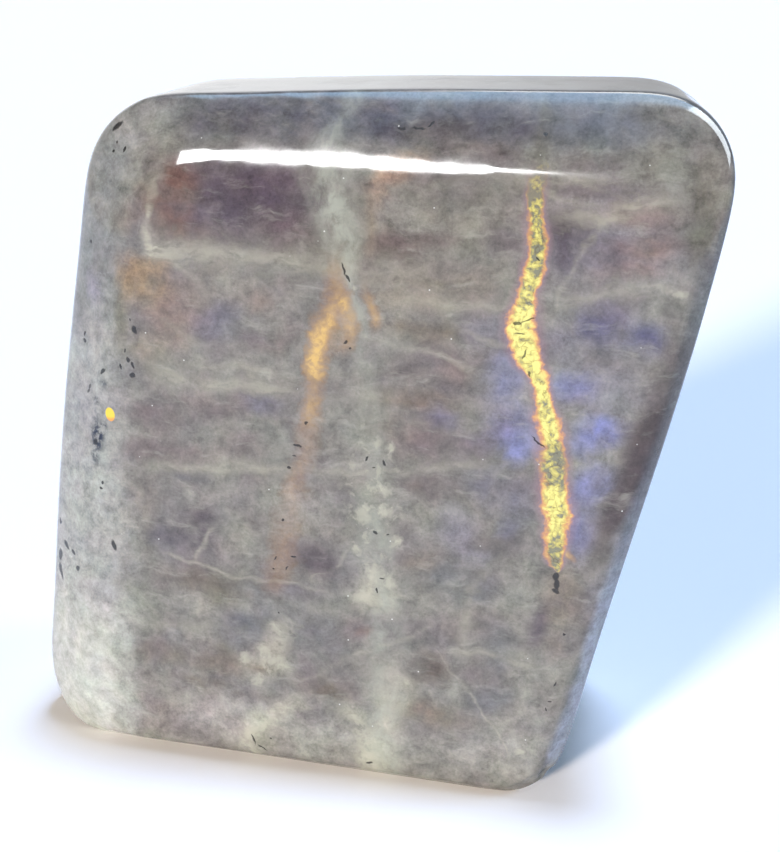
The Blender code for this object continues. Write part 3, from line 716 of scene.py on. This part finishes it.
# How marks wander from the places that the lists give, how sheets lean as they go back into the
# stone, and how far back the marks of the front alone reach.
inside = {
    "wander": (11, 3),         # size and reach
    "tremble": (2.6, 1.5),
    "frontFace": -21,
    "leanFrom": 4,
    "leanRight": 0.16,
    "leanDown": 0.22,
    "frontOnly": (19, 12),
}
markFade = (1.3, 0.25)         # where a mark ends and where it is whole, in its own radii
markDepth = 13
sheetReach = 1.9               # half widths from a sheet's middle to its end

# Sizes of the lumps in the paint: across, deep and high, or all round.
lumps = {
    "clouds": (12, 9, 7),
    "slowMottle": 3.6,
    "mottle": (2.3, 2, 2),
    "grain": 0.4,
    "tinge": 4.5,
    "patches": (2.2, 3, 3.4),
    "tears": (5, 4, 1.6),
    "speckle": 1.5,
    "wisps": (7, 3, 1.5),
    "glints": 0.9,
    "crumbs": 0.8,
    "smear": 9,
    "pits": 0.9,
}
fineTints = {
    "vein": (190, 193, 182),
    "veil": (198, 193, 178),
    "cream": (212, 208, 190),
    "wisp": (200, 197, 188),
    "knot": (208, 205, 188),
    "dust": (236, 234, 230),
}
finish = {
    "roughness": 0.06,
    "smearRoughness": 0.1,
    "oreRoughness": 0.12,
    "ior": 1.56,
    "pitDepth": 0.004,
    "pitStrength": 0.5,
}


def nearest(marks):
    # the smallest of several distances, each made only when its turn comes, because a shader
    # can hold few values at once
    return reduce(lambda best, mark: best.math("MINIMUM", mark), marks)


def total(shares):
    return reduce(lambda whole, share: whole + share, shares)


def lengthwise(wire, points):
    # a curve whose points are heights in millimetres and shares
    return follow(wire, [(heightOf(z), value) for z, value in points])


def middleLine(height, route):
    # where the middle of a line that stands up is, at each height
    return follow(height, [(heightOf(z), sideOf(x)) for z, x in route])


def awayFrom(line, side, height):
    # how far a point is from the middle of such a line, in half widths
    half = follow(height, [(heightOf(z), width / widest) for z, width in line["half"]])
    return abs(side - middleLine(height, line["route"])) * (span / widest) / (half + 0.001)


def sheets(items, along, across, toAlong, toAcross, ragged):
    # the summed strength of thin sheets that follow their routes
    def sheet(item):
        route = follow(along, [(toAlong(a), toAcross(b)) for a, b in item["route"]])
        strength = follow(along, [(toAlong(a), b) for a, b in item["strength"]])
        return between(abs(across - route) * ragged, sheetReach * item["half"] / span, 0) * strength

    return total(map(sheet, items))


def drift(place, size, reach, roughness=0.5):
    # soft noise that moves a place by up to half the reach each way
    noise = cloud(place, size, 2, roughness, output=1)
    return noise.vector("SUBTRACT", (0.5, 0.5, 0.5)).vector("SCALE", reach)


def layOut(place):
    # the place in millimetres that wanders, so that marks get natural outlines; then how far
    # right and up it is along the sheets, which lean as they go into the stone, and how near
    # the front it is
    bent = place
    for way in ("wander", "tremble"):
        bent = bent.vector("ADD", drift(place, *inside[way]))
    deep = axis(place, 1) - inside["frontFace"]
    behind = deep.math("MAXIMUM", inside["leanFrom"]) - inside["leanFrom"]
    side = (axis(bent, 0) - behind * inside["leanRight"]) * (1 / span) + 0.5
    height = (axis(bent, 2) + behind * inside["leanDown"]) * (1 / span)
    return bent, side, height, between(deep, *inside["frontOnly"])


def softPaint(place):
    # the colours that change slowly, which the corners of the stone's mesh carry
    place = place.vector("SCALE", 1 / mm)
    bent, side, height, front = layOut(place)
    clouds = cloud(bent, lumps["clouds"], 3, 0.6)
    mottle = cloud(bent, lumps["slowMottle"], 3, 0.6)
    colour = shades(clouds * 0.7 + mottle * 0.55 - 0.07, body)

    # painted light down the left bevel: a pale sheen where it mirrors the bright room and takes the light
    # from the left, whitest at its foot over the pale floor
    pastEdge = side - middleLine(height, leftSheen["edge"]) + (mottle - 0.5) * 0.07
    leftSheenLevel = lengthwise(height, leftSheen["light"]) + (clouds - 0.5) * 0.4 + (mottle - 0.5) * 0.3
    colour = layOver(colour, shades(leftSheenLevel, leftSheen["colours"]), between(pastEdge, 0.02, -0.05) * 0.92)

    broken = atLeast(0.45, between(mottle, 0.36, 0.6))
    for x, y, z, half, tall, paint, share, *turn in softMarks:
        near = between(blob(bent, (x, y, z), (half, markDepth, tall), *turn), *markFade)
        colour = coat(colour, paints[paint], near * broken * share)

    # the dark edge at the right, and the pale rim, which is painted light from the blue lamp at the right
    for rim in darkRimAndRimLight:
        across = abs(side - middleLine(height, rim["route"]))
        near = between(across, rim["half"] / span, 0.2 * rim["half"] / span)
        colour = coat(colour, rim["colour"], near * lengthwise(height, rim["share"]) * front)
    return colour


def paintStone():
    material = bpy.data.materials.new("polished_labradorite")
    material.use_nodes = True
    tree = material.node_tree
    tree.nodes.clear()
    start = Wire(tree)
    place = start.node("ShaderNodeTexCoord", output="Object").vector("SCALE", 1 / mm)
    bent, side, height, front = layOut(place)
    colour = start.node("ShaderNodeAttribute", {"attribute_name": "soft paint"})

    # mottles and fine grain, paler and darker, calmer where the paint is bright
    mottle = cloud(bent, lumps["mottle"], 4, 0.65)
    grain = cloud(place, lumps["grain"], 2, 0.7)
    tinge = drift(bent, lumps["tinge"], 0.16).vector("ADD", (1, 1, 1))
    brightness = colour.node("ShaderNodeSeparateColor", {}, {0: colour}, 1)
    evenness = 1 - 0.6 * between(brightness, 0.22, 0.42)
    texture = 1 + (mottle * 1.7 + grain * 0.7 - 1.22) * evenness
    colour = colour.vector("MULTIPLY", tinge).vector("SCALE", texture)

    # pale vein, veils, cream veins and fibres
    patchy = between(cloud(bent, lumps["patches"], 4, 0.65), 0.34, 0.66)
    vein = between(awayFrom(paleVein, side, height), 1.15, 0) * lengthwise(height, paleVein["strength"])
    colour = coat(colour, fineTints["vein"], vein * atLeast(0.25, patchy) * 0.95)
    torn = cloud(bent, lumps["tears"], 4, 0.65)
    speckle = cloud(bent, lumps["speckle"], 3, 0.6)
    ragged = 0.6 + 1.1 * between(mottle, 0.3, 0.7)
    veilShare = sheets(veils, side, height, sideOf, heightOf, ragged)
    veilShare = veilShare + sheets(uprights, height, side, heightOf, sideOf, ragged)
    veilShare = veilShare * atLeast(0.25, between(torn, 0.34, 0.62))
    colour = coat(colour, fineTints["veil"], veilShare * 0.62)
    creamShare = sheets(creamVeins, height, side, heightOf, sideOf, ragged).math("MINIMUM", 1)
    creamShare = creamShare * atLeast(0.2, between(speckle, 0.4, 0.6))
    colour = coat(colour, fineTints["cream"], creamShare * 0.9)
    wisps = between(cloud(bent, lumps["wisps"], 4, 0.62), 0.5, 0.76) * between(torn, 0.42, 0.62)
    colour = coat(colour, fineTints["wisp"], wisps * 0.42)

    # knots, and flecks down the middle
    nearKnot = nearest(blob(bent, (x, -19, z), (radius, 5, radius)) for x, z, radius in knots)
    glints = cloud(bent, lumps["glints"], 2, 0.6)
    knotShare = between(nearKnot + (glints - 0.5) * 2.2, 1.4, 0.1) * 0.62
    flecks = between(speckle, 0.54, 0.66) * between(blob(bent, (4.6, -19, 43), (5, 7, 17)), 1.2, 0.3)
    colour = coat(colour, fineTints["knot"], (knotShare + flecks * 0.4) * front)

    # orange seams
    waver = 0.75 + 0.6 * between(mottle, 0.3, 0.7)

    def warmth(seam):
        near = between(awayFrom(seam, side, height) * waver, 1.8, 0)
        return near * lengthwise(height, seam["bright"])

    orange = total(map(warmth, orangeSeams)) * front * (0.72 + 0.56 * between(glints, 0.3, 0.7))
    orangeShare = orange.math("MINIMUM", 1).math("POWER", 0.8)
    colour = layOver(colour, shades(orange, orangeShades), orangeShare * 0.92)

    # gold seam: lit cells between dark cracks, an orange edge and a rosy fringe
    across = awayFrom(goldSeam, side, height)
    bright = lengthwise(height, goldSeam["bright"]) * front
    outline = across + (glints - 0.5) * 1.1
    values = {"Vector": bent, "Scale": goldSeam["cellsPerMm"], "Randomness": 1}
    cells = bent.node("ShaderNodeTexVoronoi", {}, values, "Color")
    cellEdge = Wire(tree, cells.socket.node.outputs["Distance"])
    cracks = bent.node("ShaderNodeTexVoronoi", {"feature": "DISTANCE_TO_EDGE"}, values)
    cellTone = cells.node("ShaderNodeSeparateColor", {}, {0: cells}, 0)
    crumbs = cloud(bent, lumps["crumbs"], 2, 0.55)
    cellLight = cellTone * 0.3 + crumbs * 2.2 + mottle * 0.5 + bright * 0.85 - cellEdge * 0.4 - 1.43
    core = shades(cellLight, goldSeam["shades"])
    inCrack = between(cracks, 0.12, 0.02) * between(glints, 0.48, 0.62)
    core = coat(core, goldSeam["crack"], inCrack * 0.4)
    core = coat(core, goldSeam["edge"], between(outline, 0.5, 1.1) * between(bright, 0.08, 0.55))
    present = between(bright, 0, 0.4)
    colour = coat(colour, goldSeam["fringe"], between(across, 2, 0.9) * present * 0.6)
    gold = between(outline, 1.3, 0.75) * present
    colour = layOver(colour, core, gold)

    # gold dot, more orange towards its foot
    dot = between(blob(place, goldDot["centre"], goldDot["radii"], -12), 1.08, 0.92)
    foot = heightOf(goldDot["centre"][2])
    low = between(height, foot - 0.004, foot - 0.01)
    dotColour = coat(seen(*goldDot["light"]), goldDot["rim"], low)
    colour = layOver(colour, dotColour, dot)

    # ore grains and smudges
    smudgeShare = total(between(blob(bent, *egg), 1.3, 0) * strength for *egg, strength in smudges)
    colour = coat(colour, oreTints["smudge"], smudgeShare * (0.25 + 1.3 * between(glints, 0.4, 0.62)))
    shaken = place.vector("ADD", drift(place, 1.3, 0.8, 0.6))
    eggs = (((x, y, z), (half, 1.6, length), *turn) for x, y, z, half, length, *turn in grains)
    ore = between(nearest(blob(shaken, *egg) for egg in eggs), 1.25, 0.7)
    colour = coat(colour, oreTints["grain"], ore * 0.88)

    # dust: single bright points
    dust = place.node("ShaderNodeTexVoronoi", {}, {"Vector": place, "Scale": 0.28, "Randomness": 1})
    colour = coat(colour, fineTints["dust"], between(dust, 0.04, 0.018))

    # painted glow: the brightest gold cells shine by emission, painted light that makes the flash look
    # lit
    paintedGlow = layOver((0, 0, 0, 1), core, gold * between(bright, 0.3, 0.9))
    smear = between(cloud(place, lumps["smear"], 3, 0.6), 0.4, 0.7)
    roughness = finish["roughness"] + finish["smearRoughness"] * smear + finish["oreRoughness"] * ore
    pits = {
        "Strength": finish["pitStrength"],
        "Distance": finish["pitDepth"] * mm,
        "Height": cloud(place, lumps["pits"], 2, 0.6),
    }
    values = {
        "Base Color": colour,
        "Roughness": roughness,
        "IOR": finish["ior"],
        "Emission Color": paintedGlow,
        "Emission Strength": light["flash"],
        "Normal": start.node("ShaderNodeBump", {}, pits),
    }
    surface = start.node("ShaderNodeBsdfPrincipled", {}, values)
    start.node("ShaderNodeOutputMaterial", {}, {"Surface": surface})
    print("stone painted,", len(tree.nodes), "nodes")
    return material


# The camera stands a little to the right of the front and looks down.
shot = {
    "azimuth": 13,
    "elevation": 20,
    "distance": 205,
    "lookAt": (3.84, -5.57, 50),
    "focalPixels": 1400,
    "imageHeight": 852,
    "sensor": 36,
}


def towards(azimuth, elevation):
    # from the stone towards a place round it; azimuth 0 is in front and 90 at the right
    turn = math.radians(azimuth)
    lift = math.radians(elevation)
    return Vector((math.sin(turn) * math.cos(lift), -math.cos(turn) * math.cos(lift), math.sin(lift)))


def setCamera():
    lens = bpy.data.cameras.new("camera")
    lens.sensor_width = shot["sensor"]
    lens.lens = shot["focalPixels"] / shot["imageHeight"] * shot["sensor"]
    lens.clip_start = 0.01
    camera = bpy.data.objects.new("camera", lens)
    back = towards(shot["azimuth"], shot["elevation"])
    camera.location = (Vector(shot["lookAt"]) + back * shot["distance"]) * mm
    camera.rotation_euler = back.to_track_quat("Z", "Y").to_euler()
    bpy.context.collection.objects.link(camera)
    bpy.context.scene.camera = camera


# Suns: azimuth, elevation, width of the soft disc in degrees, strength, colour.
suns = {
    "key": (-25, 12, 9, 6.4, (1.0, 0.86, 0.74)),
    "cool_top": (140, 79.5, 10, 2.75, (0.53, 0.69, 1.0)),
    "blue_rim": (108, 26, 24, 1.4, (0.5, 0.7, 1.0)),
}

# Soft boxes that only shine in the polish: azimuth, elevation, distance, width, height, watts,
# roll in degrees, colour.
boxes = {
    "left_box": (-33, 46.4, 600, 165, 85, 1.9, 21, (1, 1, 1)),
    "middle_box": (-15.4, 44, 600, 138, 112, 2.1, -28, (1, 1, 1)),
    "corner_box": (71, 55, 600, 560, 480, 11.7, 0, (0.86, 0.94, 1)),
}

room = {
    "ambient": (0.03, 0.036, 0.045),
    "backdrop": 1.1,
    "floor": (0.97, 0.97, 0.97),
    "floorSize": 6000,
}

# What the polish mirrors of the room: how bright each part is, and where (azimuth, elevation).
mirrored = {
    "dim": 0.12,
    "walls": 0.48,
    "window": 0.8,
    "windowAt": (215, 12),
    "pane": 6.5,
    "paneAt": (182, 55),
    "ceiling": 5.5,
    "ceilingColour": (0.46, 0.76, 1.1, 1),
}


def setLights():
    for name, (azimuth, elevation, width, strength, colour) in suns.items():
        lamp = bpy.data.lights.new(name, "SUN")
        lamp.energy = strength
        lamp.angle = math.radians(width)
        lamp.color = colour
        holder = bpy.data.objects.new(name, lamp)
        holder.rotation_euler = towards(azimuth, elevation).to_track_quat("Z", "Y").to_euler()
        holder.visible_glossy = False
        bpy.context.collection.objects.link(holder)
    for name, (azimuth, elevation, distance, width, height, watts, roll, colour) in boxes.items():
        lamp = bpy.data.lights.new(name, "AREA")
        lamp.shape = "RECTANGLE"
        lamp.size = width * mm
        lamp.size_y = height * mm
        lamp.energy = watts
        lamp.color = colour
        holder = bpy.data.objects.new(name, lamp)
        way = towards(azimuth, elevation)
        holder.location = (Vector((0, 0, 50)) + way * distance) * mm
        turn = way.to_track_quat("Z", "Y") @ Quaternion((0, 0, 1), math.radians(roll))
        holder.rotation_euler = turn.to_euler()
        holder.visible_diffuse = False
        bpy.context.collection.objects.link(holder)


def setRoom():
    # a plain pale floor, and a white room that gives little light of its own
    material = bpy.data.materials.new("pale_floor")
    material.use_nodes = True
    paint = material.node_tree.nodes["Principled BSDF"]
    paint.inputs["Base Color"].default_value = room["floor"] + (1,)
    paint.inputs["Roughness"].default_value = 0.8
    paint.inputs["Specular IOR Level"].default_value = 0.1
    half = room["floorSize"] * mm / 2
    mesh = bpy.data.meshes.new("floor")
    corners = [(-half, -half, 0), (half, -half, 0), (half, half, 0), (-half, half, 0)]
    mesh.from_pydata(corners, [], [(0, 1, 2, 3)])
    mesh.materials.append(material)
    floor = bpy.data.objects.new("floor", mesh)
    bpy.context.collection.objects.link(floor)

    world = bpy.data.worlds.new("white room")
    bpy.context.scene.world = world
    world.use_nodes = True
    tree = world.node_tree
    tree.nodes.clear()
    start = Wire(tree)
    direction = start.node("ShaderNodeTexCoord", output="Generated")
    lift = axis(direction, 2)

    def facing(place):
        values = {0: direction, 1: towards(*place)}
        return direction.node("ShaderNodeVectorMath", {"operation": "DOT_PRODUCT"}, values, 1)

    # the walls are bright low down and by the window, and the ceiling is dim and blue, with a
    # pale pane behind the stone that the right of its upper ridge mirrors
    walls = mirrored["dim"] + mirrored["walls"] * between(lift, 0.62, 0.08)
    window = mirrored["window"] * between(facing(mirrored["windowAt"]), 0.82, 0.996)
    pane = mirrored["pane"] * between(facing(mirrored["paneAt"]), 0.965, 0.99)
    overhead = between(lift, 0.865, 0.95)
    gleam = walls + window + pane + mirrored["ceiling"] * overhead
    gleamColour = layOver((1, 1, 1, 1), mirrored["ceilingColour"], overhead.math("POWER", 0.4))
    wall = start.node("ShaderNodeBackground", {}, {"Color": gleamColour, "Strength": gleam})
    plain = start.node("ShaderNodeBackground", {}, {"Color": (1, 1, 1, 1), "Strength": room["backdrop"]})
    soft = start.node("ShaderNodeBackground", {}, {"Color": room["ambient"] + (1,), "Strength": 1})
    isCamera = start.node("ShaderNodeLightPath", output="Is Camera Ray")
    isGlossy = start.node("ShaderNodeLightPath", output="Is Glossy Ray")
    bounced = start.node("ShaderNodeMixShader", {}, {0: isGlossy, 1: soft, 2: wall})
    shown = start.node("ShaderNodeMixShader", {}, {0: isCamera, 1: bounced, 2: plain})
    start.node("ShaderNodeOutputWorld", {}, {"Surface": shown})


makeStone(paintStone())
setCamera()
setLights()
setRoom()
bpy.context.scene.view_settings.view_transform = "Standard"
print("stage set")
